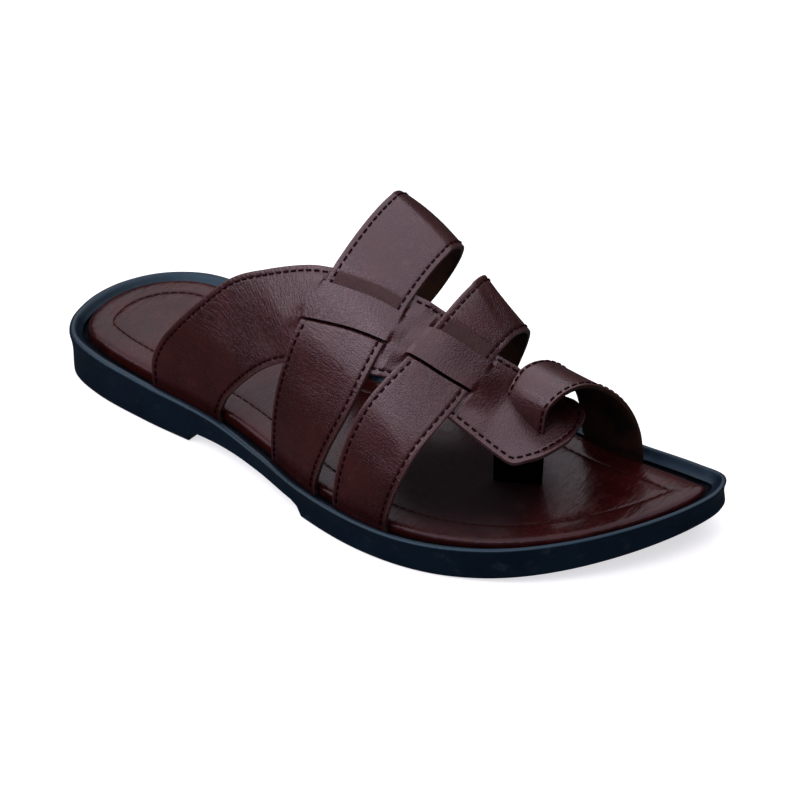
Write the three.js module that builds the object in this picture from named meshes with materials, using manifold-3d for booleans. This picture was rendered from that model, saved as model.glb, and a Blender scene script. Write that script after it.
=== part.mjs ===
import * as THREE from 'three';
import { mergeVertices } from 'three/addons/utils/BufferGeometryUtils.js';
import Module from 'manifold-3d';

const wasm = await Module();
wasm.setup();

// Sizes of the right sandal in millimetres: x runs to the toe, y to the medial side, z up from the floor
const LENGTH = 288;
const BALL_WIDTH = 105;
const INSTEP_HEIGHT = 93;
const HEEL_HEIGHT = 20;
const TOE_SPRING = 11.7;
const LEATHER = 2;
const SEAT_GAP = 0.3;

// Parts of the moulded sole
const RIM_WIDTH = 5.4;
const RECESS_DEPTH = 4.5;
const RIM_EDGE = 1;
const SHANK_LIFT = 5;
const SPRING_START = 0.74;
const SPRING_CURVE = 1.8;

// Footbed and the slot in which the toe post stands
const INSOLE_CHAMFER = 0.4;
const INSOLE_CROWN = 0.5;
const SLOT_DEPTH = 2.5;
const SLOT_WIDTH = 3;

// Heights of the weave, measured outward from the last: a cross strap lies at zero
const SPINE_REST = -0.6;
const SPINE_RAISE = 1;
const SPINE_SETTLE = 0.08;
const STRAP_DIP = 1.2;
const WEAVE_RAMP = 9;
const DIP_RAMP = 0.02;
const FOOT_RISE = 0.3;

// Where the frame has its origin, under the middle of the heel
const HEEL_REST = 0.12;

const OUTLINE_STEPS = 720;
const RING_STEPS = 40;

const table = (columns, rows) => rows.map(row => Object.fromEntries(columns.map((name, i) => [name, row[i]])));

// Plan of the sole from the back of the heel, along the lateral side, round the toe and back
const OUTLINE = table(['along', 'aside'], [
  [0.0000, 0.0000],
  [0.0028, -0.1000],
  [0.0160, -0.2048],
  [0.0451, -0.2895],
  [0.1042, -0.3429],
  [0.2083, -0.3695],
  [0.3472, -0.3762],
  [0.4236, -0.4152],
  [0.5208, -0.4886],
  [0.6201, -0.5248],
  [0.7049, -0.5086],
  [0.7778, -0.4457],
  [0.8438, -0.3476],
  [0.9062, -0.2000],
  [0.9618, -0.0048],
  [0.9937, 0.1714],
  [1.0021, 0.2952],
  [0.9878, 0.3886],
  [0.9375, 0.4229],
  [0.8160, 0.4495],
  [0.7049, 0.4743],
  [0.6319, 0.4610],
  [0.5556, 0.4038],
  [0.4861, 0.3333],
  [0.4097, 0.2895],
  [0.3299, 0.3162],
  [0.2292, 0.3790],
  [0.1528, 0.3886],
  [0.0903, 0.3543],
  [0.0382, 0.2524],
  [0.0090, 0.1190],
]);

// Height of the sole's rim as a share of the heel height, and the footbed's height over the rim
const RIM = table(['along', 'height', 'footbed'], [
  [0.00, 1.003, 1.0],
  [0.10, 0.983, 1.0],
  [0.20, 0.933, 0.9],
  [0.30, 0.847, 0.7],
  [0.40, 0.689, 0.5],
  [0.50, 0.656, 0.1],
  [0.60, 0.656, -0.3],
  [0.70, 0.656, -0.8],
  [0.80, 0.721, -1.3],
  [0.90, 0.885, -1.9],
  [1.00, 1.104, -2.3],
]);

// Side of the sole from its bottom edge to the rim: how far in, and share of the side's height
const WALL = table(['inset', 'up'], [
  [1.2, 0],
  [0.4, 0.05],
  [0.6, 0.3],
  [0.8, 0.55],
  [0.4, 0.8],
  [0, 0.9],
  [0.4, 0.97],
  [1.4, 1],
]);

// Hollow between heel and forefoot, seen from the side: place along, share of the shank's lift
const SHANK = table(['along', 'up'], [
  [0.281, -0.4],
  [0.2847, 0],
  [0.291, 0.8],
  [0.300, 1],
  [0.400, 1.06],
  [0.505, 1],
  [0.518, 0.75],
  [0.5255, 0],
  [0.528, -0.4],
]);

// The last: a row per section, with the crest's height and place and the bulge of either side
const LAST = table(['along', 'height', 'crest', 'lateral', 'medial'], [
  [0.1389, 0.889, 0.080, 0.029, 0.038],
  [0.2604, 0.954, 0.137, 0.029, 0.057],
  [0.3819, 0.986, 0.190, 0.042, 0.105],
  [0.4861, 0.975, 0.225, 0.052, 0.124],
  [0.5729, 0.857, 0.213, 0.019, 0.067],
  [0.6424, 0.706, 0.184, 0.010, 0.019],
  [0.6944, 0.545, 0.155, 0.024, 0.029],
  [0.7465, 0.378, 0.130, 0.029, 0.029],
  [0.8056, 0.266, 0.109, 0.029, 0.029],
  [0.8681, 0.223, 0.090, 0.029, 0.029],
]);

// Edges of the two cross straps from their lateral foot (around 0) to their medial foot (around 1)
const CROSS_STRAPS = [
  table(['around', 'rear', 'front'], [
    [0 / 6, 0.4406, 0.5385],
    [1 / 6, 0.4719, 0.5910],
    [2 / 6, 0.4972, 0.6024],
    [3 / 6, 0.4903, 0.5938],
    [4 / 6, 0.4701, 0.5774],
    [5 / 6, 0.4128, 0.5253],
    [6 / 6, 0.3212, 0.4340],
  ]),
  table(['around', 'rear', 'front'], [
    [0 / 6, 0.5736, 0.6670],
    [1 / 6, 0.6031, 0.6920],
    [2 / 6, 0.6365, 0.7073],
    [3 / 6, 0.6350, 0.7000],
    [4 / 6, 0.6180, 0.6896],
    [5 / 6, 0.5722, 0.6628],
    [6 / 6, 0.5278, 0.6208],
  ]),
];

// The spine strap from its lateral foot to the flap: both edges on the last, and its two slits
const SPINE = table(['inAlong', 'inAround', 'outAlong', 'outAround', 'inSlit', 'outSlit'], [
  [0.2083, 0.000, 0.3333, 0.000, 0.10, 0.50],
  [0.2118, 0.035, 0.3472, 0.030, 0.10, 0.50],
  [0.2292, 0.075, 0.3681, 0.060, 0.10, 0.50],
  [0.2569, 0.115, 0.3924, 0.090, 0.10, 0.50],
  [0.2986, 0.170, 0.4201, 0.120, 0.10, 0.50],
  [0.3472, 0.232, 0.4549, 0.150, 0.09, 0.49],
  [0.3993, 0.275, 0.4896, 0.172, 0.09, 0.49],
  [0.4549, 0.312, 0.5278, 0.195, 0.13, 0.55],
  [0.5104, 0.345, 0.5660, 0.218, 0.20, 0.59],
  [0.5590, 0.375, 0.6007, 0.238, 0.25, 0.62],
  [0.6111, 0.405, 0.6319, 0.262, 0.29, 0.66],
  [0.6597, 0.442, 0.6701, 0.286, 0.23, 0.65],
  [0.7049, 0.480, 0.7118, 0.312, 0.17, 0.60],
  [0.7396, 0.530, 0.7465, 0.325, 0.18, 0.60],
  [0.7639, 0.585, 0.7708, 0.328, 0.22, 0.60],
  [0.7813, 0.610, 0.7917, 0.331, 0.25, 0.60],
  [0.7969, 0.605, 0.8028, 0.358, 0.28, 0.60],
  [0.8090, 0.590, 0.8135, 0.395, 0.30, 0.60],
  [0.8177, 0.555, 0.8205, 0.450, 0.30, 0.60],
  [0.8212, 0.515, 0.8222, 0.490, 0.30, 0.60],
]);

// The toe loop from its post, over the big toe, to the medial groove: rear edge, then front edge
const LOOP = table(['rearAlong', 'rearAside', 'rearUp', 'frontAlong', 'frontAside', 'frontUp'], [
  [0.7189, -0.0237, -0.0209, 0.7793, 0.0482, -0.0217],
  [0.7186, -0.0155, 0.0963, 0.7849, 0.0358, 0.0877],
  [0.7204, -0.0054, 0.2120, 0.7906, 0.0218, 0.2002],
  [0.7247, 0.0128, 0.3228, 0.7959, 0.0084, 0.3128],
  [0.7296, 0.0515, 0.4178, 0.8018, 0.0156, 0.4093],
  [0.7322, 0.1201, 0.4718, 0.8118, 0.0723, 0.4605],
  [0.7382, 0.2066, 0.4631, 0.8214, 0.1573, 0.4587],
  [0.7438, 0.2856, 0.4059, 0.8296, 0.2385, 0.4061],
  [0.7486, 0.3470, 0.3166, 0.8386, 0.3110, 0.3196],
  [0.7524, 0.3850, 0.2126, 0.8465, 0.3620, 0.2176],
  [0.7550, 0.4020, 0.1023, 0.8529, 0.3880, 0.1056],
  [0.7576, 0.4020, 0, 0.8576, 0.3870, 0],
]);

// Smooth curve through one column of a table, at a place given in another column or by row number
function follow(rows, by, name, at) {
  const end = rows.length - 1;
  const place = i => (by === 'row' ? i : rows[i][by]);
  const span = i => place(i + 1) - place(i);
  const slope = i => (rows[i + 1][name] - rows[i][name]) / span(i);
  const tangent = i => {
    if (i === 0) return slope(0);
    if (i === end) return slope(end - 1);
    return (slope(i - 1) * span(i) + slope(i) * span(i - 1)) / (span(i) + span(i - 1));
  };
  let i = 0;
  while (i < end - 1 && at > place(i + 1)) i += 1;
  const s = (at - place(i)) / span(i);
  const rest = 1 - s;
  const ends = rest * rest * (1 + 2 * s) * rows[i][name] + s * s * (3 - 2 * s) * rows[i + 1][name];
  return ends + span(i) * (s * rest * rest * tangent(i) - s * s * rest * tangent(i + 1));
}

const smooth = t => {
  const s = THREE.MathUtils.clamp(t, 0, 1);
  return s * s * (3 - 2 * s);
};

const rimAt = x => follow(RIM, 'along', 'height', x / LENGTH) * HEEL_HEIGHT;
const floorAt = x => rimAt(x) - RECESS_DEPTH;
const footbedAt = x => rimAt(x) + follow(RIM, 'along', 'footbed', x / LENGTH);

function undersideAt(x) {
  const share = THREE.MathUtils.clamp((x / LENGTH - SPRING_START) / (1 - SPRING_START), 0, 1);
  return TOE_SPRING * share ** SPRING_CURVE;
}

const plan = new THREE.CatmullRomCurve3(
  OUTLINE.map(row => new THREE.Vector3(row.along * LENGTH, row.aside * BALL_WIDTH, 0)),
  true,
  'centripetal',
);
plan.arcLengthDivisions = 4 * OUTLINE_STEPS;
const outline = plan.getSpacedPoints(OUTLINE_STEPS).slice(0, -1);

// Both sides of a line drawn inside the outline at an even distance, each from heel to toe
const insets = new Map();
function sidesAt(inset) {
  if (insets.has(inset)) return insets.get(inset);
  const count = outline.length;
  const inner = [];
  for (let i = 0; i < count; i += 1) {
    const way = outline[(i + 1) % count].clone().sub(outline[(i + count - 1) % count]).normalize();
    const point = outline[i].clone().add(new THREE.Vector3(-way.y, way.x, 0).multiplyScalar(inset));
    const nearest = Math.min(...outline.map(other => other.distanceTo(point)));
    if (nearest > inset - 0.05) inner.push(point);
  }
  const heel = inner.reduce((best, point, i) => (point.x < inner[best].x ? i : best), 0);
  const turned = [...inner.slice(heel), ...inner.slice(0, heel)];
  const toe = turned.reduce((best, point, i) => (point.x > turned[best].x ? i : best), 0);
  const sides = {
    lateral: turned.slice(0, toe + 1),
    medial: [turned[0], ...turned.slice(toe).reverse()],
  };
  insets.set(inset, sides);
  return sides;
}

function asideAt(side, x) {
  let i = 0;
  while (i < side.length - 2 && side[i + 1].x < x) i += 1;
  const share = THREE.MathUtils.clamp((x - side[i].x) / (side[i + 1].x - side[i].x), 0, 1);
  return THREE.MathUtils.lerp(side[i].y, side[i + 1].y, share);
}

const grooveAt = (x, side) => asideAt(sidesAt(RIM_WIDTH + SEAT_GAP)[side], x);

function geometryFrom(points, faces) {
  const geometry = new THREE.BufferGeometry().setFromPoints(points);
  geometry.setIndex(faces.flat());
  geometry.computeVertexNormals();
  return geometry;
}

// Closed ring of points round the foot shape, paired across it from heel to toe
function ring(inset, heightAt) {
  const { lateral, medial } = sidesAt(inset);
  const heel = lateral[0];
  const toe = lateral[lateral.length - 1];
  const outward = [];
  const back = [];
  for (let k = 0; k <= RING_STEPS; k += 1) {
    const x = THREE.MathUtils.lerp(heel.x, toe.x, (1 - Math.cos((Math.PI * k) / RING_STEPS)) / 2);
    const isEnd = k === 0 || k === RING_STEPS;
    const end = k === 0 ? heel : toe;
    outward.push(new THREE.Vector3(x, isEnd ? end.y : asideAt(lateral, x), heightAt(x)));
    if (!isEnd) back.unshift(new THREE.Vector3(x, asideAt(medial, x), heightAt(x)));
  }
  return [...outward, ...back];
}

// Solid through a stack of rings, closed below by the first and above by the last
function stack(rings) {
  const count = 2 * RING_STEPS;
  const faces = [];
  for (let j = 0; j < rings.length - 1; j += 1) {
    for (let i = 0; i < count; i += 1) {
      const a = j * count + i;
      const b = j * count + ((i + 1) % count);
      faces.push([a, b, b + count], [a, b + count, a + count]);
    }
  }
  const top = (rings.length - 1) * count;
  for (let k = 0; k < RING_STEPS; k += 1) {
    const medial = (count - k) % count;
    const nextMedial = count - k - 1;
    if (k < RING_STEPS - 1) {
      faces.push([top + k, top + k + 1, top + nextMedial]);
      faces.push([k, nextMedial, k + 1]);
    }
    if (k > 0) {
      faces.push([top + k, top + nextMedial, top + medial]);
      faces.push([k, medial, nextMedial]);
    }
  }
  return geometryFrom(rings.flat(), faces);
}

// Solid sheet from a grid of cells that hold a place on its outer face and one on its inner face.
// Each patch is split along its shorter diagonal.
function sheet(rows) {
  const width = rows[0].length;
  const height = rows.length;
  const back = width * height;
  const cells = rows.flat();
  const points = [...cells.map(cell => cell.outer), ...cells.map(cell => cell.inner)];
  const faces = [];
  const quad = (a, b, c, d) => {
    const isShorter = points[a].distanceTo(points[c]) < points[b].distanceTo(points[d]);
    faces.push(...(isShorter ? [[a, b, c], [a, c, d]] : [[b, c, d], [b, d, a]]));
  };
  for (let i = 0; i < height - 1; i += 1) {
    for (let k = 0; k < width - 1; k += 1) {
      const a = i * width + k;
      quad(a, a + 1, a + 1 + width, a + width);
      quad(back + a, back + a + width, back + a + 1 + width, back + a + 1);
    }
  }
  for (let i = 0; i < height - 1; i += 1) {
    const a = i * width;
    const b = a + width - 1;
    quad(a, a + width, back + a + width, back + a);
    quad(b, back + b, back + b + width, b + width);
  }
  for (let k = 0; k < width - 1; k += 1) {
    const b = (height - 1) * width + k;
    quad(k, back + k, back + k + 1, k + 1);
    quad(b, b + 1, back + b + 1, back + b);
  }
  return geometryFrom(points, faces);
}

function toSolid(geometry) {
  const bare = geometry.clone();
  bare.deleteAttribute('normal');
  bare.deleteAttribute('uv');
  const welded = mergeVertices(bare, 1e-4);
  const mesh = new wasm.Mesh({
    numProp: 3,
    vertProperties: new Float32Array(welded.attributes.position.array),
    triVerts: new Uint32Array(welded.index.array),
  });
  return new wasm.Manifold(mesh);
}

function fromSolid(solid) {
  const mesh = solid.getMesh();
  const geometry = new THREE.BufferGeometry();
  geometry.setAttribute('position', new THREE.BufferAttribute(mesh.vertProperties, 3));
  geometry.setIndex(new THREE.BufferAttribute(mesh.triVerts, 1));
  geometry.computeVertexNormals();
  return geometry;
}

// Place on the last at a length from the heel and a share of the girth from lateral to medial
function lastPoint(x, around) {
  const share = x / LENGTH;
  const angle = Math.PI * around;
  const side = around < 0.5 ? 'lateral' : 'medial';
  const crest = follow(LAST, 'along', 'crest', share) * BALL_WIDTH;
  const bulge = follow(LAST, 'along', side, share) * BALL_WIDTH;
  const height = follow(LAST, 'along', 'height', share) * INSTEP_HEIGHT;
  const reach = (grooveAt(x, side) - crest) * Math.abs(Math.cos(angle));
  const y = crest + reach - bulge * Math.sin(2 * angle);
  return new THREE.Vector3(x, y, rimAt(x) + FOOT_RISE + height * Math.sin(angle));
}

function lastNormal(x, around) {
  const step = 0.5;
  const turn = 0.004;
  const middle = THREE.MathUtils.clamp(around, turn, 1 - turn);
  const along = lastPoint(x + step, middle).sub(lastPoint(x - step, middle));
  const across = lastPoint(x, middle + turn).sub(lastPoint(x, middle - turn));
  return along.cross(across).normalize();
}

const cellAt = (point, normal, offset) => ({
  outer: point.clone().addScaledVector(normal, offset),
  inner: point.clone().addScaledVector(normal, offset - LEATHER),
});

const onLast = (x, around, offset) => cellAt(lastPoint(x, around), lastNormal(x, around), offset);

// End of a strap straight below its lowest row, in the groove beside the footbed
function inGroove(row) {
  const down = point => new THREE.Vector3(point.x, point.y, floorAt(point.x) + SEAT_GAP);
  return row.map(cell => ({ outer: down(cell.outer), inner: down(cell.inner) }));
}

function spineAt(row, across) {
  const value = name => follow(SPINE, 'row', name, row);
  const x = THREE.MathUtils.lerp(value('inAlong'), value('outAlong'), across) * LENGTH;
  return { x, around: THREE.MathUtils.lerp(value('inAround'), value('outAround'), across) };
}

// Each slit as a line on the last: share of the girth over length
const slitLine = name => SPINE.map((values, row) => spineAt(row, values[name]));
const SLITS = { inner: slitLine('inSlit'), outer: slitLine('outSlit') };
const slitAt = (name, x) => follow(SLITS[name], 'x', 'around', x);

// How far a place on the spine is crossed by either strap, from 0 clear of them to 1 at a crossing
function crossingAt(x, around) {
  const shares = CROSS_STRAPS.map(strap => {
    const fromRear = x - follow(strap, 'around', 'rear', around) * LENGTH;
    const toFront = follow(strap, 'around', 'front', around) * LENGTH - x;
    return smooth(1 + fromRear / WEAVE_RAMP) * smooth(1 + toFront / WEAVE_RAMP);
  });
  return Math.max(...shares);
}

// Share of the dip that takes a cross strap under the middle of the spine
function dipAt(x, around) {
  const entering = smooth(1 + (around - slitAt('outer', x)) / DIP_RAMP);
  const leaving = smooth(1 + (slitAt('inner', x) - around) / DIP_RAMP);
  return entering * leaving;
}

const steps = (from, to, count) => Array.from({ length: count }, (_, i) => from + ((to - from) * i) / count);

const STRAP_COLUMNS = 6;
const AROUND_STEPS = [...steps(0, 0.2, 5), ...steps(0.2, 0.5, 22), ...steps(0.5, 1, 13), 1];

function crossStrap(strap) {
  const rows = AROUND_STEPS.map(around => {
    const rear = follow(strap, 'around', 'rear', around) * LENGTH;
    const front = follow(strap, 'around', 'front', around) * LENGTH;
    return [...steps(rear, front, STRAP_COLUMNS), front].map(x => onLast(x, around, -STRAP_DIP * dipAt(x, around)));
  });
  return sheet([inGroove(rows[0]), ...rows, inGroove(rows[rows.length - 1])]);
}

const SPINE_SUBSTEPS = 4;
const SLIT_WIDTH = 0.012;

function spineStrap() {
  const end = SPINE.length - 1;
  const rows = [...steps(0, end, end * SPINE_SUBSTEPS), end].map(row => {
    const inSlit = follow(SPINE, 'row', 'inSlit', row);
    const outSlit = follow(SPINE, 'row', 'outSlit', row);
    const cell = (across, raise) => {
      const { x, around } = spineAt(row, across);
      const rest = SPINE_REST * smooth(around / SPINE_SETTLE);
      return onLast(x, around, rest + raise * SPINE_RAISE * crossingAt(x, around));
    };
    return [
      ...steps(0, inSlit, 2).map(across => cell(across, -1)),
      cell(inSlit - SLIT_WIDTH, -1),
      ...steps(inSlit, outSlit, 4).map(across => cell(across, 1)),
      cell(outSlit, 1),
      ...steps(outSlit + SLIT_WIDTH, 1, 3).map(across => cell(across, -1)),
      cell(1, -1),
    ];
  });
  return sheet([inGroove(rows[0]), ...rows]);
}

const LOOP_SUBSTEPS = 3;
const LOOP_COLUMNS = 5;

// Place on the toe loop's outer face: the post ends in the footbed's slot, the far end in the groove
function loopPoint(row, across) {
  const end = LOOP.length - 1;
  const value = (rear, front) =>
    THREE.MathUtils.lerp(follow(LOOP, 'row', rear, row), follow(LOOP, 'row', front, row), across);
  const x = value('rearAlong', 'frontAlong') * LENGTH;
  if (row === end) return new THREE.Vector3(x, grooveAt(x, 'medial'), rimAt(x) + FOOT_RISE);
  const y = value('rearAside', 'frontAside') * BALL_WIDTH;
  if (row === 0) return new THREE.Vector3(x, y, footbedAt(x) - SLOT_DEPTH + SEAT_GAP);
  return new THREE.Vector3(x, y, rimAt(x) + value('rearUp', 'frontUp') * INSTEP_HEIGHT);
}

function toeLoop() {
  const end = LOOP.length - 1;
  const shares = [...steps(0, 1, LOOP_COLUMNS), 1];
  const nudge = 0.05;
  const rows = [...steps(0, end, end * LOOP_SUBSTEPS), end].map(row => shares.map(across => {
    const before = Math.max(row - nudge, 0.01);
    const after = Math.min(row + nudge, end - 0.01);
    const up = loopPoint(after, across).sub(loopPoint(before, across));
    const middle = THREE.MathUtils.clamp(row, 0.01, end - 0.01);
    const forward = loopPoint(middle, 1).sub(loopPoint(middle, 0));
    return cellAt(loopPoint(row, across), forward.cross(up).normalize(), 0);
  }));
  return sheet([...rows, inGroove(rows[rows.length - 1])]);
}

function outsole() {
  const wall = WALL.map(({ inset, up }) =>
    ring(inset, x => THREE.MathUtils.lerp(undersideAt(x), rimAt(x), up)));
  const body = stack([
    ...wall,
    ring(RIM_WIDTH - RIM_EDGE, rimAt),
    ring(RIM_WIDTH, x => rimAt(x) - RIM_EDGE),
    ring(RIM_WIDTH, floorAt),
  ]);
  const side = new THREE.Shape(SHANK.map(row => new THREE.Vector2(row.along * LENGTH, row.up * SHANK_LIFT)));
  const hollow = new THREE.ExtrudeGeometry(side, { depth: 2 * BALL_WIDTH, bevelEnabled: false });
  hollow.rotateX(Math.PI / 2);
  hollow.translate(0, BALL_WIDTH, 0);
  return fromSolid(toSolid(body).subtract(toSolid(hollow)));
}

function insole() {
  const edge = RIM_WIDTH + LEATHER + 2 * SEAT_GAP;
  const bottom = x => floorAt(x) + SEAT_GAP;
  const body = stack([
    ring(edge + INSOLE_CHAMFER, bottom),
    ring(edge, x => bottom(x) + INSOLE_CHAMFER),
    ring(edge, x => footbedAt(x) - 1.6),
    ring(edge + 0.5, x => footbedAt(x) - 0.7),
    ring(edge + 1.5, x => footbedAt(x) - 0.15),
    ring(edge + 3.5, footbedAt),
    ring(edge + 9, x => footbedAt(x) + INSOLE_CROWN),
  ]);
  const rear = loopPoint(0, 0);
  const way = loopPoint(0, 1).sub(rear).setZ(0);
  const length = way.length() + 2 * SEAT_GAP;
  const height = 4 * SLOT_DEPTH;
  const slot = new THREE.BoxGeometry(length, SLOT_WIDTH, height);
  slot.rotateZ(Math.atan2(way.y, way.x));
  const middle = rear.addScaledVector(way, 0.5);
  const sideways = new THREE.Vector3(-way.y, way.x, 0).normalize().multiplyScalar(LEATHER / 2);
  slot.translate(middle.x + sideways.x, middle.y + sideways.y, middle.z - SEAT_GAP + height / 2);
  return fromSolid(toSolid(body).subtract(toSolid(slot)));
}

function upper() {
  const straps = [spineStrap(), ...CROSS_STRAPS.map(crossStrap), toeLoop()].map(toSolid);
  return fromSolid(straps.reduce((whole, strap) => whole.add(strap)));
}

const rubber = new THREE.MeshStandardMaterial({ color: 0x10161f, roughness: 0.55, metalness: 0 });
const footbedLeather = new THREE.MeshStandardMaterial({ color: 0x2c1413, roughness: 0.3, metalness: 0 });
const strapLeather = new THREE.MeshStandardMaterial({ color: 0x3a1f20, roughness: 0.45, metalness: 0 });

const group = new THREE.Group();
group.name = 'woven_slide_sandal';
const pieces = [
  ['outsole', outsole(), rubber],
  ['insole', insole(), footbedLeather],
  ['upper', upper(), strapLeather],
];
for (const [name, geometry, material] of pieces) {
  geometry.translate(-HEEL_REST * LENGTH, 0, 0);
  const mesh = new THREE.Mesh(geometry, material);
  mesh.name = name;
  group.add(mesh);
}

export default group;
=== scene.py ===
"""Woven slide sandal for the right foot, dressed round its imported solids.

Sizes are in millimetres and become metres where a mesh is made. x runs to the toe, y to the medial
side, z up from the floor. Lengths along the sole count from the back of the heel."""

import bpy
import numpy as np
from mathutils import Matrix, Vector, kdtree


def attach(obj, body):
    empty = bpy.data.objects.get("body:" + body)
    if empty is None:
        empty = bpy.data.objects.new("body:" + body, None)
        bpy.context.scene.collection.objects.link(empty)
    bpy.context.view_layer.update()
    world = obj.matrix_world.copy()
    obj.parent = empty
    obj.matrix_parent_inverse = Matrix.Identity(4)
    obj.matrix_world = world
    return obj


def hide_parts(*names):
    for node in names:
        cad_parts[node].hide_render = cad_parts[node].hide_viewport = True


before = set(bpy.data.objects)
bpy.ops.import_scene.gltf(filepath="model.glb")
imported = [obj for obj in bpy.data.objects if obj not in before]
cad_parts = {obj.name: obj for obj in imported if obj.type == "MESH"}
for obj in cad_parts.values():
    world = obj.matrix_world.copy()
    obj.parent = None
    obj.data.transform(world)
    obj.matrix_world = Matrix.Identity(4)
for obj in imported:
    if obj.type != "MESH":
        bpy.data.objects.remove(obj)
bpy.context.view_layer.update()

# ---------------------------------------------------------------- Outsole
# One moulding of blue-black rubber with a raised rim round a shallow recess for the footbed.
# The block heel and the forefoot stand on the floor, with a lifted shank between them. The tread is
# moulded into the underside, and the wall draws in slightly at mid height.
LENGTH = 288
BALL_WIDTH = 105
INSTEP_HEIGHT = 93
HEEL_HEIGHT = 20
TOE_SPRING = 11.7
SPRING_START = 0.74
SPRING_CURVE = 1.8
RIM_WIDTH = 5.4
LIP_NARROWS_FROM = 0.25
LIP_NARROWS_OVER = 0.35
RECESS_DEPTH = 4.5
SEAT_GAP = 0.3
SHANK_LIFT = 5
HEEL_REST = 0.12
OUTLINE_STEPS = 1440
CURVE_STEPS = 200
INSET_SLACK = 0.02
HIDDEN_COLUMNS = 4
MILLIMETRE = 0.001


def table(columns, rows):
    """Named columns of a table of sizes."""
    return dict(zip(columns.split(), np.array(rows, float).T))


OUTLINE = table("along aside", [
    (0.0000, 0.0000), (0.0028, -0.1000), (0.0160, -0.2048), (0.0451, -0.2895), (0.1042, -0.3429),
    (0.2083, -0.3695), (0.3472, -0.3762), (0.4236, -0.4152), (0.5208, -0.4886), (0.6201, -0.5248),
    (0.7049, -0.5086), (0.7778, -0.4457), (0.8438, -0.3476), (0.9062, -0.2000), (0.9618, -0.0048),
    (0.9937, 0.1714), (1.0021, 0.2952), (0.9878, 0.3886), (0.9375, 0.4229), (0.8160, 0.4495),
    (0.7049, 0.4743), (0.6319, 0.4610), (0.5556, 0.4038), (0.4861, 0.3333), (0.4097, 0.2895),
    (0.3299, 0.3162), (0.2292, 0.3790), (0.1528, 0.3886), (0.0903, 0.3543), (0.0382, 0.2524),
    (0.0090, 0.1190),
])
RIM = table("along height footbed", [
    (0.0, 1.003, 1.0), (0.1, 0.983, 1.0), (0.2, 0.933, 0.9), (0.3, 0.847, 0.7), (0.4, 0.689, 0.5),
    (0.5, 0.656, 0.1), (0.6, 0.656, -0.3), (0.7, 0.656, -0.8), (0.8, 0.721, -1.3), (0.9, 0.885, -1.9),
    (1.0, 1.104, -2.3),
])
WALL = table("up inset", [
    (0.00, 1.3), (0.02, 0.75), (0.05, 0.45), (0.12, 0.42), (0.22, 0.52), (0.34, 0.65), (0.46, 0.76),
    (0.58, 0.76), (0.70, 0.62), (0.80, 0.38), (0.87, 0.12), (0.91, 0.03), (0.94, 0.10), (0.965, 0.32),
    (0.985, 0.70), (0.996, 1.15), (1.00, 1.60),
])
RIM_LIP = table("atHeel atToe drop", [
    (2.2, 1.75, 0.05), (2.7, 2.1, 0.30), (3.3, 2.6, 0.85), (4.0, 3.3, 1.65), (4.7, 4.2, 2.42),
    (RIM_WIDTH, RIM_WIDTH, 3.10),
])
SHANK = table("along up", [
    (0.2847, 0), (0.2910, 0.8), (0.3000, 1), (0.4000, 1.06), (0.5050, 1), (0.5180, 0.75), (0.5255, 0),
])


def follow(rows, by, name, at):
    """Smooth curve through a column of a table, at places given in another column or by row number."""
    value = rows[name]
    place = np.arange(len(value), dtype=float) if by == "row" else rows[by]
    span = np.diff(place)
    slope = np.diff(value) / span
    tangent = np.concatenate([
        slope[:1],
        (slope[:-1] * span[1:] + slope[1:] * span[:-1]) / (span[1:] + span[:-1]),
        slope[-1:],
    ])
    at = np.asarray(at, float)
    i = np.clip(np.searchsorted(place, at) - 1, 0, len(span) - 1)
    s = (at - place[i]) / span[i]
    rest = 1 - s
    ends = rest * rest * (1 + 2 * s) * value[i] + s * s * (3 - 2 * s) * value[i + 1]
    return ends + span[i] * (s * rest * rest * tangent[i] - s * s * rest * tangent[i + 1])


def smooth(t):
    s = np.clip(t, 0, 1)
    return s * s * (3 - 2 * s)


def rim_at(x):
    return follow(RIM, "along", "height", x / LENGTH) * HEEL_HEIGHT


def floor_at(x):
    return rim_at(x) - RECESS_DEPTH


def underside_at(x):
    share = np.clip((x / LENGTH - SPRING_START) / (1 - SPRING_START), 0, 1)
    hollow = np.interp(x / LENGTH, SHANK["along"], SHANK["up"]) * SHANK_LIFT
    return TOE_SPRING * share ** SPRING_CURVE + hollow


def closed_curve(points, count):
    """Evenly spaced points on a smooth closed curve through a ring of points."""
    dense = []
    size = len(points)
    for i in range(size):
        p0, p1, p2, p3 = (points[(i + k) % size] for k in (-1, 0, 1, 2))
        d0, d1, d2 = (np.sqrt(np.linalg.norm(b - a)) for a, b in ((p0, p1), (p1, p2), (p2, p3)))
        t1 = ((p1 - p0) / d0 - (p2 - p0) / (d0 + d1) + (p2 - p1) / d1) * d1
        t2 = ((p2 - p1) / d1 - (p3 - p1) / (d1 + d2) + (p3 - p2) / d2) * d1
        t = np.linspace(0, 1, CURVE_STEPS, endpoint=False)[:, None]
        squared, cubed = 3 * (p2 - p1) - 2 * t1 - t2, 2 * (p1 - p2) + t1 + t2
        dense.append(p1 + t * t1 + t ** 2 * squared + t ** 3 * cubed)
    dense = np.concatenate([*dense, dense[0][:1]])
    way = np.concatenate([[0], np.cumsum(np.linalg.norm(np.diff(dense, axis=0), axis=1))])
    even = np.linspace(0, way[-1], count, endpoint=False)
    return np.column_stack([np.interp(even, way, dense[:, axis]) for axis in (0, 1)])


drawn = np.column_stack([OUTLINE["along"] * LENGTH, OUTLINE["aside"] * BALL_WIDTH])
outline = closed_curve(drawn, OUTLINE_STEPS)
insets = {}


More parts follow.
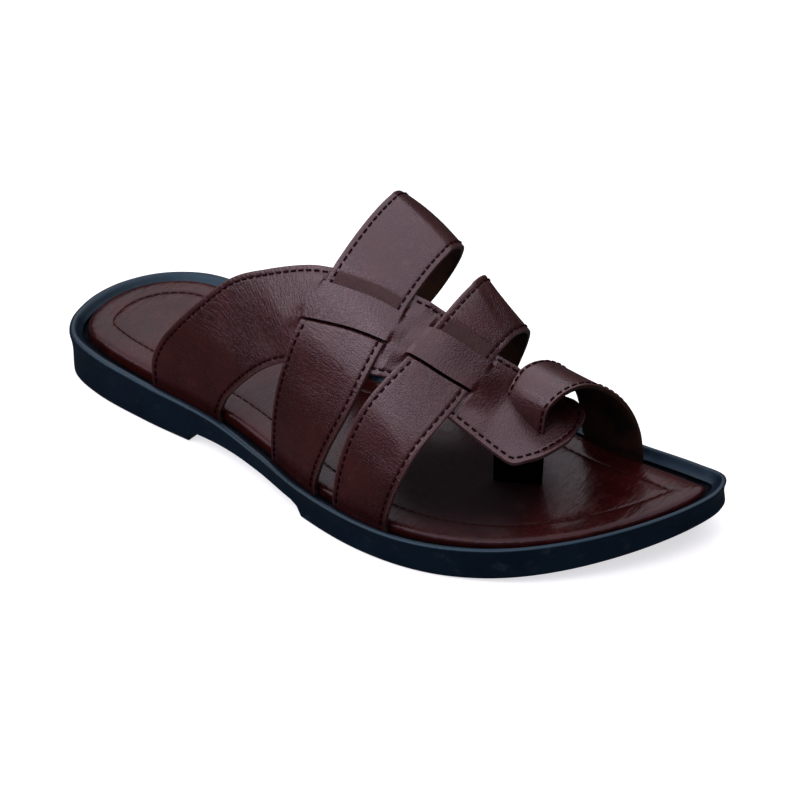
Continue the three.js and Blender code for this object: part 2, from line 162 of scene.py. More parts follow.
def sides_at(inset):
    """Lateral and medial halves of a line at an even distance inside the outline, heel to toe."""
    if inset not in insets:
        way = np.roll(outline, -1, axis=0) - np.roll(outline, 1, axis=0)
        way /= np.linalg.norm(way, axis=1)[:, None]
        inner = outline + inset * np.column_stack([-way[:, 1], way[:, 0]])
        nearest = np.sqrt(((inner[:, None] - outline[None]) ** 2).sum(-1).min(1))
        inner = inner[nearest > inset - INSET_SLACK]
        inner = np.roll(inner, -inner[:, 0].argmin(), axis=0)
        toe = inner[:, 0].argmax()
        insets[inset] = inner[: toe + 1], np.concatenate([inner[:1], inner[toe:][::-1]])
    return insets[inset]


def aside_at(side, x):
    """Place across the sole of a line from heel to toe."""
    return np.interp(x, np.maximum.accumulate(side[:, 0]), side[:, 1])


# Shares of the length, close together at the heel, at the toe and at both ends of the shank.
stations = np.unique(np.concatenate([
    (1 - np.cos(np.linspace(0, np.pi, 261))) / 2,
    np.linspace(0.278, 0.305, 14),
    np.linspace(0.500, 0.530, 14),
]))


def ring(inset, height_at):
    """Closed ring of points round the foot shape: along the lateral side, then back by the medial."""
    lateral, medial = sides_at(inset)
    x = lateral[0, 0] + (lateral[-1, 0] - lateral[0, 0]) * stations
    height = height_at(x)
    out = np.column_stack([x, aside_at(lateral, x), height])
    back = np.column_stack([x, aside_at(medial, x), height])
    return np.concatenate([out, back[-2:0:-1]])


def bands(count, first, last):
    """Faces between rings that follow each other, as the wall of a stack."""
    faces = []
    for j in range(first, last):
        for i in range(count):
            a, b = j * count + i, j * count + (i + 1) % count
            faces.append((a, b, b + count, a + count))
    return faces


def cap(points, start, across, height_at, is_top):
    """Filled ring: new points between its two sides, shaped by height_at, and the faces on them."""
    size = len(stations)
    count = 2 * size - 2
    edge = points[start:start + count]
    shares = np.linspace(0, 1, across + 1)[1:-1]
    grid = np.empty((size, across + 1), int)
    added = []
    at = len(points)
    for k in range(size):
        low, high = k, (count - k) % count
        grid[k, 0], grid[k, -1] = start + low, start + high
        if k in (0, size - 1):
            grid[k] = start + low
            continue
        row = edge[low] + (edge[high] - edge[low]) * shares[:, None]
        added.append(row)
        grid[k, 1:-1] = at + np.arange(across - 1)
        at += across - 1
    added = np.concatenate(added)
    added[:, 2] = height_at(added[:, 0], added[:, 1], added[:, 2])
    faces = []
    for k in range(size - 1):
        for m in range(across):
            corners = [grid[k, m], grid[k + 1, m], grid[k + 1, m + 1], grid[k, m + 1]]
            corners = list(dict.fromkeys(int(c) for c in corners))
            faces.append(corners if is_top else corners[::-1])
    return np.concatenate([points, added]), faces


def kept_height(x, y, height):
    return height


def in_scene(name, data):
    """An object of the scene, at the origin and unturned."""
    made = bpy.data.objects.new(name, data)
    bpy.context.scene.collection.objects.link(made)
    return made


def mesh_piece(name, points, faces, finishes, sharp, finish_of_face=None):
    """A mesh object in the frame of the part, smooth except where it bends by over sharp degrees."""
    places = np.asarray(points, float) - (HEEL_REST * LENGTH, 0, 0)
    mesh = bpy.data.meshes.new(name)
    mesh.from_pydata((places * MILLIMETRE).tolist(), [], faces)
    for finish in finishes:
        mesh.materials.append(finish)
    if finish_of_face is not None:
        mesh.polygons.foreach_set("material_index", finish_of_face)
    mesh.shade_smooth()
    mesh.set_sharp_from_angle(angle=np.radians(sharp))
    return in_scene(name, mesh)


class Tone:
    """A number, colour or direction that varies over a surface: a socket that takes operators."""

    def __init__(self, finish, socket):
        self.finish = finish
        self.socket = socket

    def maths(self, operation, *values):
        return self.finish.node("ShaderNodeMath", {"operation": operation}, dict(enumerate(values)))

    def __add__(self, other):
        return self.maths("ADD", self, other)

    def __radd__(self, other):
        return self.maths("ADD", other, self)

    def __sub__(self, other):
        return self.maths("SUBTRACT", self, other)

    def __rsub__(self, other):
        return self.maths("SUBTRACT", other, self)

    def __mul__(self, other):
        return self.maths("MULTIPLY", self, other)

    def __rmul__(self, other):
        return self.maths("MULTIPLY", other, self)

    def between(self, low, high):
        """0 below low, 1 above high, and a soft ramp between them."""
        return self.finish.node(
            "ShaderNodeMapRange", {"interpolation_type": "SMOOTHSTEP"},
            {0: self, 1: low, 2: high, 3: 0.0, 4: 1.0},
        )


class Finish:
    """A procedural material round one shader, with the few nodes that its patterns need."""

    def __init__(self, name, **constants):
        self.material = bpy.data.materials.new(name)
        self.material.use_nodes = True
        self.tree = self.material.node_tree
        self.shader = self.tree.nodes["Principled BSDF"]
        for socket, value in constants.items():
            self.shader.inputs[socket.replace("_", " ")].default_value = value

    def node(self, kind, settings=None, inputs=None, out=None):
        """A node of any kind, with its settings and inputs; gives the output named, or the first."""
        made = self.tree.nodes.new(kind)
        for name, value in (settings or {}).items():
            setattr(made, name, value)
        for name, value in (inputs or {}).items():
            if isinstance(value, Tone):
                self.tree.links.new(value.socket, made.inputs[name])
            else:
                made.inputs[name].default_value = value
        shown = [socket for socket in made.outputs if socket.enabled]
        return Tone(self, made.outputs[out] if out is not None else shown[0])

    def place(self, stretch=(1, 1, 1), turn=(0, 0, 0)):
        """Object coordinates in millimetres, stretched and turned for a pattern."""
        at = self.node("ShaderNodeTexCoord", out="Object")
        scale = tuple(1000 * s for s in stretch)
        return self.node("ShaderNodeMapping", inputs={"Vector": at, "Scale": scale, "Rotation": turn})

    def noise(self, at, size, detail=2.0, rough=0.5):
        """Cloudy pattern, its patches about size millimetres across."""
        return self.node("ShaderNodeTexNoise", inputs={
            "Vector": at, "Scale": 1 / size, "Detail": detail, "Roughness": rough})

    def cells(self, at, size):
        """Cells about size millimetres across, 0 on their borders."""
        return self.node(
            "ShaderNodeTexVoronoi", {"feature": "DISTANCE_TO_EDGE"}, {"Vector": at, "Scale": 1 / size}
        )

    def painted(self, name):
        """A value that the mesh carries at its points."""
        return self.node("ShaderNodeAttribute", {"attribute_name": name}, out="Fac")

    def mix(self, factor, a, b):
        """Colour b over colour a."""
        return self.node("ShaderNodeMix", {"data_type": "RGBA"}, {0: factor, 6: a, 7: b}, out=2)

    def bump(self, height, depth, under=None):
        """Relief of a height pattern, depth in millimetres."""
        inputs = {"Height": height, "Distance": depth * MILLIMETRE, "Strength": 1.0}
        if under is not None:
            inputs["Normal"] = under
        return self.node("ShaderNodeBump", inputs=inputs)

    def wear(self, **links):
        """Feeds what varies over the surface into the shader and returns the material."""
        for socket, value in links.items():
            self.tree.links.new(value.socket, self.shader.inputs[socket.replace("_", " ")])
        return self.material


def rubber_finish():
    made = Finish("blue_black_rubber", IOR=1.45, Specular_IOR_Level=0.54, Specular_Tint=(0.50, 0.77, 1.0, 1))
    at = made.place()
    cloud = made.noise(at, 26, 3)
    pebble = made.noise(at, 0.7, 2)
    dust = made.noise(at, 5, 4, 0.65).between(0.56, 0.80)
    tint = made.mix(cloud.between(0.3, 0.7), (0.0003, 0.0022, 0.0070, 1), (0.0008, 0.0042, 0.0110, 1))
    tint = made.mix(dust * 0.16, tint, (0.045, 0.060, 0.080, 1))
    return made.wear(
        Base_Color=tint,
        Roughness=0.34 + cloud * 0.10 + dust * 0.10,
        Normal=made.bump(pebble, 0.035, made.bump(cloud, 0.5)),
    )


def groove_shade_finish():
    # Painted shade: the rim's inner wall down to the recess floor is near black with almost no specular, for
    # the shade in the gap beside the footbed. The noise adds faint lighter dust.
    made = Finish("dusty_groove_painted_shade", IOR=1.45, Specular_IOR_Level=0.04)
    dust = made.noise(made.place(), 3, 3, 0.6)
    tint = made.mix(dust.between(0.45, 0.75), (0.0006, 0.0010, 0.0020, 1), (0.0030, 0.0040, 0.0060, 1))
    return made.wear(Base_Color=tint, Roughness=0.75 + dust * 0.15)


TREAD_PITCH = 8.5
TREAD_DEPTH = 1.4
TREAD_WAVE = 2.2
TREAD_WAVE_LENGTH = 5.5
TREAD_BORDER = 7.5
TREAD_FADE = 0.9
TREAD_COLUMNS = 76
RIB_LEVEL = 0.25
RIB_SLOPE = 0.45
SHANK_FLAT = 0.01
SOLE_SHARP_ANGLE = 38


def tread_height(x, y, height):
    """Wavy ribs across the heel and the forefoot, inside a plain border."""
    border = outline_distance(x, y)
    is_pad = np.interp(x / LENGTH, SHANK["along"], SHANK["up"]) < SHANK_FLAT
    flat = smooth((border - TREAD_BORDER) / TREAD_FADE) * is_pad
    wave = np.cos(2 * np.pi * (x + TREAD_WAVE * np.cos(y / TREAD_WAVE_LENGTH)) / TREAD_PITCH)
    return underside_at(x) + TREAD_DEPTH * flat * smooth((wave - RIB_LEVEL) / RIB_SLOPE)


def outline_distance(x, y):
    """Distance of places from the sole's outline."""
    near = kdtree.KDTree(len(outline))
    for i, (a, b) in enumerate(outline):
        near.insert((a, b, 0), i)
    near.balance()
    return np.array([near.find((a, b, 0))[2] for a, b in zip(x, y)])


def make_outsole():
    rings = [
        ring(inset, lambda x: underside_at(x) + (rim_at(x) - underside_at(x)) * up)
        for up, inset in zip(*WALL.values())
    ]
    for wide, narrow, drop in zip(*RIM_LIP.values()):
        heel, toe = (ring(inset, lambda x: rim_at(x) - drop) for inset in (wide, narrow))
        narrowing = smooth((heel[:, :1] / LENGTH - LIP_NARROWS_FROM) / LIP_NARROWS_OVER)
        rings.append(heel + (toe - heel) * narrowing)
    rings.append(ring(RIM_WIDTH, floor_at))
    count = len(rings[0])
    points = np.concatenate(rings)
    faces = bands(count, 0, len(rings) - 1)
    points, under = cap(points, 0, TREAD_COLUMNS, tread_height, False)
    points, recess = cap(points, (len(rings) - 1) * count, HIDDEN_COLUMNS, kept_height, True)
    finishes = [rubber_finish(), groove_shade_finish()]
    # The last band of the wall, from the rim's inner slope down to the recess floor, and the recess take the
    # groove finish of painted shade.
    kinds = np.repeat([0, 1, 0, 1], [len(faces) - count, count, len(under), len(recess)])
    faces = faces + under + recess
    return mesh_piece("outsole_rubber", points, faces, finishes, SOLE_SHARP_ANGLE, kinds)


outsole = make_outsole()
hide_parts("outsole")
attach(outsole, "root")

# ---------------------------------------------------------------- Insole
# A padded board wrapped in glossy brown leather and glued into the recess of the outsole. Its edge is
# rolled over, and one seam runs round it a centimetre inside the edge. Under the flap and the toe loop
# its forefoot carries painted shade: near black, rough and without coat.
LEATHER = 2
INSOLE_EDGE = RIM_WIDTH + LEATHER + 2 * SEAT_GAP
INSOLE_SEAM = 10.4
CROWN_START = 15.5
CROWN = 0.40
CROWN_FADE = 9
HEEL_DENT = 0.45
HEEL_SPOT = (40, 2), (26, 20)
BALL_DENT = 0.55
BALL_SPOT = (205, -4), (30, 30)
# Painted shade on the forefoot under the flap and the toe loop: how strong it is and where it lies.
PAINTED_SHADE_STRENGTH = 1.5
PAINTED_SHADE_SPOT = (200, -12), (33, 26)
FOOTBED_COLUMNS = 40
FOOTBED_SHARP_ANGLE = 50
FOOTBED_PROFILE = (
    (0.0, -2.3), (0.08, -1.75), (0.32, -1.15), (0.80, -0.62), (1.45, -0.24), (2.30, -0.04), (3.40, 0.08),
    (4.60, 0.16), (6.00, 0.22), (8.20, 0.24), (9.70, 0.20), (10.1, 0.08), (INSOLE_SEAM, -0.02),
    (10.7, 0.06), (11.1, 0.17), (12.0, 0.26), (13.5, 0.34), (CROWN_START, CROWN),
)


def footbed_at(x):
    return rim_at(x) + follow(RIM, "along", "footbed", x / LENGTH)


def mound(x, y, centre, reach):
    """1 at a centre, fading to 0 round it over a reach along and across the foot."""
    return np.exp(-((x - centre[0]) / reach[0]) ** 2 - ((y - centre[1]) / reach[1]) ** 2)


def footbed_relief(x, y, height):
    """The crown inside the seam, pressed in a little under the heel and the ball of the foot."""
    heel, ball = mound(x, y, *HEEL_SPOT), mound(x, y, *BALL_SPOT)
    inside = smooth((outline_distance(x, y) - INSOLE_EDGE - CROWN_START) / CROWN_FADE)
    return footbed_at(x) + CROWN - inside * (HEEL_DENT * heel + BALL_DENT * ball)


def insole_finish():
    made = Finish(
        "glossy_brown_leather", IOR=1.5, Specular_IOR_Level=0.17, Specular_Tint=(1.0, 0.82, 0.97, 1),
        Coat_Roughness=0.07,
    )
    at = made.place()
    cloud = made.noise(at, 34, 4, 0.6)
    grain = made.cells(at, 0.85).between(0.02, 0.20)
    crease = made.noise(made.place((1.0, 0.22, 1.0), (0, 0, 0.5)), 2.6, 3, 0.6).between(0.44, 0.60)
    rub = made.noise(at, 9, 4, 0.62).between(0.50, 0.74)
    tint = made.mix(cloud.between(0.30, 0.70), (0.0120, 0.0014, 0.0016, 1), (0.0300, 0.0044, 0.0042, 1))
    tint = made.mix(rub * 0.30, tint, (0.0620, 0.0150, 0.0110, 1))
    # Painted shade: near black, rough and without coat where the flap and the toe loop shade the forefoot.
    painted_shade = made.painted("painted_shade")
    tint = made.mix(painted_shade * 0.85, tint, (0.0020, 0.0004, 0.0004, 1))
    return made.wear(
        Base_Color=tint,
        Roughness=0.13 + cloud * 0.05 + rub * 0.10 + painted_shade * 0.50,
        Coat_Weight=(0.05 - rub * 0.03) * (1 - painted_shade),
        Normal=made.bump(grain, 0.018, made.bump(crease, 0.05)),
    )


def paint(mesh, name, values):
    """Gives the mesh a value at each of its points, for its finish."""
    mesh.attributes.new(name, "FLOAT", "POINT").data.foreach_set("value", values.astype(np.float32))


def make_insole():
    rings = [ring(INSOLE_EDGE, lambda x: floor_at(x) + SEAT_GAP)]
    for inset, rise in FOOTBED_PROFILE:
        rings.append(ring(INSOLE_EDGE + inset, lambda x: footbed_at(x) + rise))
    count = len(rings[0])
    points = np.concatenate(rings)
    faces = bands(count, 0, len(rings) - 1)
    points, under = cap(points, 0, HIDDEN_COLUMNS, kept_height, False)
    points, top = cap(points, (len(rings) - 1) * count, FOOTBED_COLUMNS, footbed_relief, True)
    faces = faces + under + top
    piece = mesh_piece("insole_leather", points, faces, [insole_finish()], FOOTBED_SHARP_ANGLE)
    # The spot of painted shade, carried as a value at each point for the finish.
    paint(piece.data, "painted_shade", smooth(PAINTED_SHADE_STRENGTH * mound(points[:, 0], points[:, 1], *PAINTED_SHADE_SPOT)))
    return piece


insole = make_insole()
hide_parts("insole")
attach(insole, "root")

# ---------------------------------------------------------------- Cross straps
# Two broad bands of smooth dark reddish-brown leather over the foot, lined with dark suede. Their
# ends go down into the groove beside the footbed. Each dives through a slit under the spine strap and
# comes up through another in a soft fold. Beside that slit a matte strip carries painted shade: a
# browner colour for the duller light where the strap bends away into the slit.
LEATHER_EDGE = 0.5
LINING_EDGE = 0.25
SEAM_INSET = 2.35
SEAM_DIP = 0.17
SEAM_HALF_WIDTH = 0.55
STRAP_DIP = 1.2
LATERAL_RAMP = 0.006
CRACK_HALF_WIDTH = 0.30
CRACK_DEPTH = 0.6
CRACK_IS_DARK = 0.3
MEDIAL_RAMP = 0.034
FOLD_HEIGHT = 0.6
FOLD_START = 0.01
FOLD_END = 0.20
FOLD_STRIP = 6.0
FOLD_BLUR = 0.6
FOLD_FADE = 1.6
FOLD_MARGIN = 0.8
OUTER_BEND_REACH = 0.10
INNER_BEND_REACH = 0.09
STRAP_SHARP_ANGLE = 42
FOOT_RISE = 0.3
SMALL_TURN = 0.004
SMALL_STEP = 0.5

LAST = table("along height crest lateral medial", [
    (0.1389, 0.889, 0.080, 0.029, 0.038), (0.2604, 0.954, 0.137, 0.029, 0.057),
    (0.3819, 0.986, 0.190, 0.042, 0.105), (0.4861, 0.975, 0.225, 0.052, 0.124),
    (0.5729, 0.857, 0.213, 0.019, 0.067), (0.6424, 0.706, 0.184, 0.010, 0.019),
    (0.6944, 0.545, 0.155, 0.024, 0.029), (0.7465, 0.378, 0.130, 0.029, 0.029),
    (0.8056, 0.266, 0.109, 0.029, 0.029), (0.8681, 0.223, 0.090, 0.029, 0.029),
])
CROSS_STRAPS = {
    "rear_cross_strap": table("around rear front", [
        (0 / 6, 0.4406, 0.5385), (1 / 6, 0.4719, 0.5910), (2 / 6, 0.4972, 0.6024), (3 / 6, 0.4903, 0.5938),
        (4 / 6, 0.4701, 0.5774), (5 / 6, 0.4128, 0.5253), (6 / 6, 0.3212, 0.4340),
    ]),
    "front_cross_strap": table("around rear front", [
        (0 / 6, 0.5736, 0.6670), (1 / 6, 0.6031, 0.6920), (2 / 6, 0.6365, 0.7073), (3 / 6, 0.6350, 0.7000),
        (4 / 6, 0.6180, 0.6896), (5 / 6, 0.5722, 0.6628), (6 / 6, 0.5278, 0.6208),
    ]),
}
SPINE = table("inAlong inAround outAlong outAround inSlit outSlit", [
    (0.2083, 0.000, 0.3333, 0.000, 0.10, 0.50), (0.2118, 0.035, 0.3472, 0.030, 0.10, 0.50),
    (0.2292, 0.075, 0.3681, 0.060, 0.10, 0.50), (0.2569, 0.115, 0.3924, 0.090, 0.10, 0.50),
    (0.2986, 0.170, 0.4201, 0.120, 0.10, 0.50), (0.3472, 0.232, 0.4549, 0.150, 0.09, 0.49),
    (0.3993, 0.275, 0.4896, 0.172, 0.09, 0.49), (0.4549, 0.312, 0.5278, 0.195, 0.13, 0.55),
    (0.5104, 0.345, 0.5660, 0.218, 0.20, 0.59), (0.5590, 0.375, 0.6007, 0.238, 0.25, 0.62),
    (0.6111, 0.405, 0.6319, 0.262, 0.29, 0.66), (0.6597, 0.442, 0.6701, 0.286, 0.23, 0.65),
    (0.7049, 0.480, 0.7118, 0.312, 0.17, 0.60), (0.7396, 0.530, 0.7465, 0.325, 0.18, 0.60),
    (0.7639, 0.585, 0.7708, 0.328, 0.22, 0.60), (0.7813, 0.610, 0.7917, 0.331, 0.25, 0.60),
    (0.7969, 0.605, 0.8028, 0.358, 0.28, 0.60), (0.8090, 0.590, 0.8135, 0.395, 0.30, 0.60),
    (0.8177, 0.555, 0.8205, 0.450, 0.30, 0.60), (0.8212, 0.515, 0.8222, 0.490, 0.30, 0.60),
])
EDGE_STEPS = np.array([0, 0.08, 0.2, 0.36, 0.55, 0.9, 1.4, 1.85, 2.1, 2.35, 2.6, 2.85, 3.3, 4.0])


def groove_at(x, around):
    """Place across the sole of the groove's outer wall, on one side or the other."""
    lateral, medial = sides_at(RIM_WIDTH + SEAT_GAP)
    return np.where(around < 0.5, aside_at(lateral, x), aside_at(medial, x))


def last_point(x, around):
    """Place on the last at a length from the heel and a share of the girth, lateral to medial."""
    share = x / LENGTH
    angle = np.pi * around
    crest = follow(LAST, "along", "crest", share) * BALL_WIDTH
    bulges = [follow(LAST, "along", side, share) * BALL_WIDTH for side in ("lateral", "medial")]
    bulge = np.where(around < 0.5, *bulges)
    height = follow(LAST, "along", "height", share) * INSTEP_HEIGHT
    y = crest + (groove_at(x, around) - crest) * np.abs(np.cos(angle)) - bulge * np.sin(2 * angle)
    return np.stack([x, y, rim_at(x) + FOOT_RISE + height * np.sin(angle)], axis=-1)


def unit(vectors):
    return vectors / np.maximum(np.linalg.norm(vectors, axis=-1, keepdims=True), 1e-9)


def last_normal(x, around):
    """Way straight out of the last at a place."""
    middle = np.clip(around, SMALL_TURN, 1 - SMALL_TURN)
    along = last_point(x + SMALL_STEP, middle) - last_point(x - SMALL_STEP, middle)
    across = last_point(x, middle + SMALL_TURN) - last_point(x, middle - SMALL_TURN)
    return unit(np.cross(along, across))


def spine_at(row, across):
    """Place on the last of a share across the spine strap, medial to lateral, in one of its rows."""
    ins = [follow(SPINE, "row", name, row) for name in ("inAlong", "inAround", "outAlong", "outAround")]
    x = (ins[0] + (ins[2] - ins[0]) * across) * LENGTH
    return x, ins[1] + (ins[3] - ins[1]) * across


def slit_at(name, x):
    """How far round the last a line of slits lies at a length."""
    line_x, line_around = spine_at(np.arange(len(SPINE[name])), SPINE[name])
    return follow({"x": line_x, "around": line_around}, "x", "around", x)


def strap_columns(width, middle):
    """Shares across a strap, close together along both of its edges, for each row's width."""
    near = EDGE_STEPS / np.maximum(width, 3 * EDGE_STEPS[-1])[:, None]
    inner = near[:, -1:] + (1 - 2 * near[:, -1:]) * np.linspace(0, 1, middle)[1:-1]
    return np.concatenate([near, inner, 1 - near[:, ::-1]], axis=1)


def edge_distance(points, *edges):
    """Distance of each point of a grid from the nearest of some lines, each given by its points."""
    fine = []
    for edge in edges:
        at, count = np.arange(0, len(edge) - 1, 0.1), np.arange(len(edge))
        fine.append(np.column_stack([np.interp(at, count, edge[:, axis]) for axis in range(3)]))
    fine = np.concatenate(fine)
    near = kdtree.KDTree(len(fine))
    for i, place in enumerate(fine):
        near.insert(place, i)
    near.balance()
    return np.array([near.find(p)[2] for p in points.reshape(-1, 3)]).reshape(points.shape[:-1])


def rounded(edge, radius):
    """How far a face drops at a distance from its edge, as a quarter circle."""
    inward = np.clip(edge, 0, radius)
    return radius - np.sqrt(radius ** 2 - (radius - inward) ** 2)


def leather_finish():
    made = Finish(
        "dark_reddish_leather", IOR=1.5, Specular_IOR_Level=0.54, Specular_Tint=(1.0, 0.78, 0.93, 1),
        Coat_Roughness=0.20,
    )
    at = made.place()
    along = made.node("ShaderNodeUVMap", {"uv_map": "strap"})
    stretched = made.node("ShaderNodeMapping", inputs={"Vector": along, "Scale": (1000, 260, 1)})
    bend, edge, fold_shade = (made.painted(name) for name in ("bend", "edge", "fold_shade"))
    cloud = made.noise(at, 18, 4, 0.6)
    grain = made.cells(at, 1.05).between(0.0, 0.20)
    pores = made.noise(at, 0.6, 2)
    wrinkle = made.noise(stretched, 1.0, 3, 0.55).between(0.34, 0.62)
    rub = made.noise(at, 6, 4, 0.62).between(0.52, 0.78)
    tint = made.mix(cloud.between(0.30, 0.70), (0.0180, 0.0022, 0.0020, 1), (0.0330, 0.0050, 0.0042, 1))
    tint = made.mix((1 - grain) * 0.45, tint, (0.0110, 0.0030, 0.0032, 1))
    tint = made.mix(rub * 0.18, tint, (0.0520, 0.0170, 0.0160, 1))
    tint = made.mix(1 - edge.between(0.2, 1.3), tint, (0.0420, 0.0150, 0.0150, 1))
    # Painted shade: the strip beside the medial slit is browner, for the duller light where the strap bends
    # away into the slit. It is also rougher and has no coat.
    tint = made.mix(fold_shade, tint, made.mix(rub, (0.0260, 0.0075, 0.0050, 1), (0.0420, 0.0140, 0.0095, 1)))
    return made.wear(
        Base_Color=tint,
        Roughness=0.24 + cloud * 0.07 - rub * 0.04 + (1 - grain) * 0.08 + fold_shade * 0.42,
        Coat_Weight=(0.17 + rub * 0.10) * (1 - fold_shade),
        Normal=made.bump(wrinkle * bend, 0.14, made.bump(grain, 0.042, made.bump(pores, 0.030))),
    )


def cut_edge_finish():
    made = Finish("painted_cut_edge", IOR=1.5, Specular_IOR_Level=0.5)
    at = made.place()
    fibres = made.noise(at, 0.6, 3, 0.6)
    tint = made.mix(fibres.between(0.35, 0.65), (0.0180, 0.0090, 0.0100, 1), (0.0450, 0.0240, 0.0250, 1))
    return made.wear(Base_Color=tint, Roughness=0.42 + fibres * 0.14, Normal=made.bump(fibres, 0.05))


def lining_finish():
    made = Finish("dark_suede_lining", IOR=1.45, Specular_IOR_Level=0.2)
    at = made.place()
    nap = made.noise(at, 0.5, 3, 0.65)
    cloud = made.noise(at, 14, 3)
    tint = made.mix(cloud.between(0.35, 0.65), (0.0040, 0.0012, 0.0006, 1), (0.0210, 0.0062, 0.0016, 1))
    return made.wear(Base_Color=tint, Roughness=0.74 + nap * 0.16, Normal=made.bump(nap, 0.07))


def slit_finish():
    made = Finish("slit_shadow", IOR=1.45, Specular_IOR_Level=0.0)
    fibres = made.noise(made.place(), 0.6, 2)
    tint = made.mix(fibres, (0.0010, 0.0002, 0.0003, 1), (0.0030, 0.0008, 0.0008, 1))
    return made.wear(Base_Color=tint, Roughness=0.8 + fibres * 0.1)


strap_finishes = [leather_finish(), cut_edge_finish(), lining_finish(), slit_finish()]
PLAIN, CUT_EDGE, LINING, SLIT = range(4)


def four_cornered(a, b, c, d):
    """Faces that take a corner each from four grids of point numbers."""
    return np.stack([a, b, c, d], axis=-1).reshape(-1, 4)


def strap_piece(
    name, base, normal, lift, edge, bend, marks, foot_rows, seam_inset=SEAM_INSET, fold_shade=None, wall=CUT_EDGE
):
    """A lined strap with rounded edges: a grid of its outer face and one of its lining. Edge and bend say
    where it is near its edge and wrinkled, and the fold values where its strip of painted shade lies; marks
    and wall say which finish its outer face and its cut edge have; foot_rows names the ends that go down
    into the groove."""
    seam = SEAM_DIP * np.exp(-(((edge - seam_inset) / SEAM_HALF_WIDTH) ** 2))
    outer = base + normal * (lift - rounded(edge, LEATHER_EDGE) - seam)[..., None]
    inner = base + normal * (lift - LEATHER + rounded(edge, LINING_EDGE))[..., None]
    seam_face = base + normal * lift[..., None]
    rows = [outer, inner, edge, bend, marks, np.zeros_like(edge) if fold_shade is None else fold_shade]
    for end in foot_rows:
        for k in range(len(rows)):
            picked = rows[k][0 if end == "first" else -1][None].copy()
            if k < 2:
                picked[..., 2] = floor_at(picked[..., 0]) + SEAT_GAP
            rows[k] = np.concatenate([picked, rows[k]] if end == "first" else [rows[k], picked])
    outer, inner, edge, bend, marks, fold_shade = rows
    height, width = edge.shape
    index = np.arange(height * width).reshape(height, width)
    back = index + height * width
    top = four_cornered(index[:-1, :-1], index[:-1, 1:], index[1:, 1:], index[1:, :-1])
    under = four_cornered(back[:-1, :-1], back[1:, :-1], back[1:, 1:], back[:-1, 1:])
    walls = np.concatenate([
        four_cornered(index[:-1, 0], index[1:, 0], back[1:, 0], back[:-1, 0]),
        four_cornered(index[:-1, -1], back[:-1, -1], back[1:, -1], index[1:, -1]),
        four_cornered(index[0, :-1], back[0, :-1], back[0, 1:], index[0, 1:]),
        four_cornered(index[-1, :-1], index[-1, 1:], back[-1, 1:], back[-1, :-1]),
    ])
    faces = np.concatenate([top, walls, under])
    top_kinds = np.minimum(marks[:-1, :-1], marks[1:, 1:]).reshape(-1)
    kinds = np.concatenate([top_kinds, np.full(len(walls), wall), np.full(len(under), LINING)])
    points = np.concatenate([outer.reshape(-1, 3), inner.reshape(-1, 3)])
    piece = mesh_piece(name, points, faces.tolist(), strap_finishes, STRAP_SHARP_ANGLE, kinds)
    mesh = piece.data
    for label, value in (("edge", edge), ("bend", bend), ("fold_shade", fold_shade)):
        paint(mesh, label, np.tile(value.reshape(-1), 2))
    step = np.linalg.norm(np.diff(outer, axis=0, prepend=outer[:1]), axis=-1).mean(1)
    side = np.linalg.norm(np.diff(outer, axis=1, prepend=outer[:, :1]), axis=-1)
    length = np.broadcast_to(np.cumsum(step)[:, None], edge.shape)
    flat = np.stack([length, np.cumsum(side, axis=1)], axis=-1)
    flat = np.tile(flat.reshape(-1, 2), (2, 1)) * MILLIMETRE
    corner = np.empty(len(mesh.loops), np.int32)
    mesh.loops.foreach_get("vertex_index", corner)
    mesh.uv_layers.new(name="strap").data.foreach_set("uv", flat[corner].astype(np.float32).ravel())
    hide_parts("upper")
    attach(piece, "root")
    return seam_face


def seam_lines(face, normal, edge, seam_inset=SEAM_INSET):
    """The two lines of a strap's seams, a fixed distance in from either edge, with their normals."""
    lines = ([], [])
    for points, ways, depth in zip(face, normal, edge):
        ridge = depth.argmax()
        if depth[ridge] < seam_inset:
            continue
        count = np.arange(len(depth))
        inward = slice(0, ridge + 1), slice(len(depth) - 1, ridge - 1 if ridge else None, -1)
        for line, part in zip(lines, inward):
            at = np.interp(seam_inset, np.maximum.accumulate(depth[part]), count[part])
            low = min(int(at), len(depth) - 2)
            share = at - low
            line.append(np.concatenate([
                points[low] * (1 - share) + points[low + 1] * share,
                ways[low] * (1 - share) + ways[low + 1] * share,
            ]))
    return [np.array(line) for line in lines]


strap_seams = []
CROSS_ROWS = ((0, 0.20, 50), (0.20, 0.49, 330), (0.49, 1, 120))
CROSS_CREASES = {
    "rear_cross_strap": table("around across reach spread height", [
        (0.225, 0.50, 0.030, 0.55, 0.55), (0.170, 0.30, 0.022, 0.40, -0.35),
        (0.560, 0.45, 0.040, 0.50, -0.60), (0.640, 0.60, 0.035, 0.60, 0.45),
        (0.100, 0.60, 0.035, 0.50, 0.35),
    ]),
    "front_cross_strap": table("around across reach spread height", [
        (0.200, 0.50, 0.030, 0.55, 0.45), (0.140, 0.65, 0.022, 0.35, -0.30),
        (0.540, 0.50, 0.035, 0.50, -0.50), (0.620, 0.45, 0.030, 0.60, 0.40),
    ]),
}


def relief(creases, first, second):
    """Height of soft ridges and troughs, each a mound at its own place with its own spread."""
    height = np.zeros_like(second)
    for at, across, reach, spread, rise in zip(*creases.values()):
        height += rise * mound(first, second, (at, across), (reach, spread))
    return height


